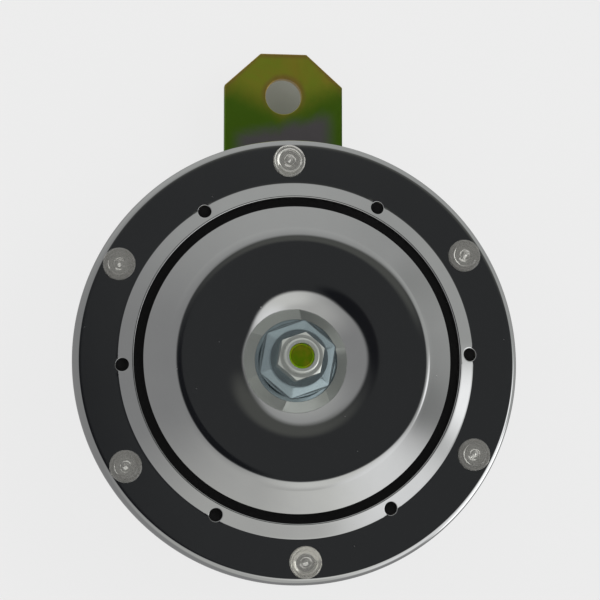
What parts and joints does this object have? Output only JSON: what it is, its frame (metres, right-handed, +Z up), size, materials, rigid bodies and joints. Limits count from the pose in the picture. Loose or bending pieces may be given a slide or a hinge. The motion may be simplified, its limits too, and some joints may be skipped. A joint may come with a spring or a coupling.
{
  "type": "car horn",
  "caption": "Round electric disc horn with a chromed ring and tone disc, push rivets, rear tab terminals and a drilled steel mounting strap.",
  "frame": {"origin": "centre of the mounting hole in the strap, at half the strap's thickness", "axes": "+Z up along the strap, away from the horn; +Y rearward along the mounting hole, parallel to the horn's axis, so the horn faces -Y; +X to the right as seen from the front"},
  "size_m": [0.105, 0.0512, 0.1322],
  "materials": {
    "decorative_chrome": "bright chrome plate on pressed steel",
    "clear_plastic": "clear moulded plastic",
    "bright_zinc": "bluish bright zinc plate",
    "yellow_zinc": "yellow passivated zinc plate with an iridescent bloom",
    "black_paint": "satin black paint on steel",
    "gasket_fibre": "compressed fibre",
    "soft_iron": "turned soft iron",
    "bobbin_nylon": "natural nylon",
    "copper_enamel": "enamelled copper wire",
    "spring_steel": "bare spring steel",
    "tungsten": "ground tungsten",
    "phenolic": "brown laminated phenolic",
    "black_moulding": "moulded black nylon",
    "tinned_brass": "tinned brass",
    "blue_nylon": "white nylon ring",
    "wire_sleeve": "red insulated wire"
  },
  "bodies": {
    "housing": {"front_ring": "decorative_chrome", "rivet_shells": "clear_plastic", "rivet_pins": "clear_plastic", "front_gasket": "gasket_fibre", "rear_gasket": "gasket_fibre", "diaphragm": "black_paint", "housing_cup": "black_paint", "pole_core": "soft_iron", "coil_bobbin": "bobbin_nylon", "coil_winding": "copper_enamel", "core_nut": "bright_zinc", "mounting_strap": "yellow_zinc", "spring_washer": "bright_zinc", "strap_nut": "bright_zinc", "breaker_insulators": "phenolic", "breaker_arm": "spring_steel", "breaker_plate": "tinned_brass", "fixed_contact": "tungsten", "breaker_rivets": "tinned_brass", "adjusting_screw": "bright_zinc", "adjuster_pad": "phenolic", "adjuster_nuts": "bright_zinc", "terminal_block": "black_moulding", "tab_terminal_left": "tinned_brass", "tab_terminal_right": "tinned_brass", "terminal_washers": "phenolic", "terminal_rivets": "tinned_brass", "lead_wires": "wire_sleeve"},
    "vibrator": {"tone_disc": "decorative_chrome", "front_spacer": "bright_zinc", "clamp_nut": "bright_zinc", "plain_washer": "bright_zinc", "lock_nut": "bright_zinc", "lock_nut_insert": "blue_nylon", "armature_stud": "yellow_zinc", "rear_washer": "bright_zinc", "armature": "soft_iron"},
    "breaker": {"moving_contact": "tungsten", "breaker_pusher": "phenolic"}
  },
  "joints": [
    {"name": "armature_stroke", "type": "slide", "parent": "housing", "child": "vibrator", "axis": [0, 1, 0], "range_m": [0, 0.0007], "stiffness_N_per_m": 8000, "deforming": ["diaphragm"]},
    {"name": "breaker_lift", "type": "hinge", "parent": "housing", "child": "breaker", "pos_m": [0.0322, -0.01745, -0.0689], "axis": [0, 0, -1], "range_deg": [0, 1.5], "deforming": ["breaker_arm"]}
  ],
  "couplings": [
    {"joint": "breaker_lift", "follows": "armature_stroke", "rad_per_m": 36.735}
  ]
}
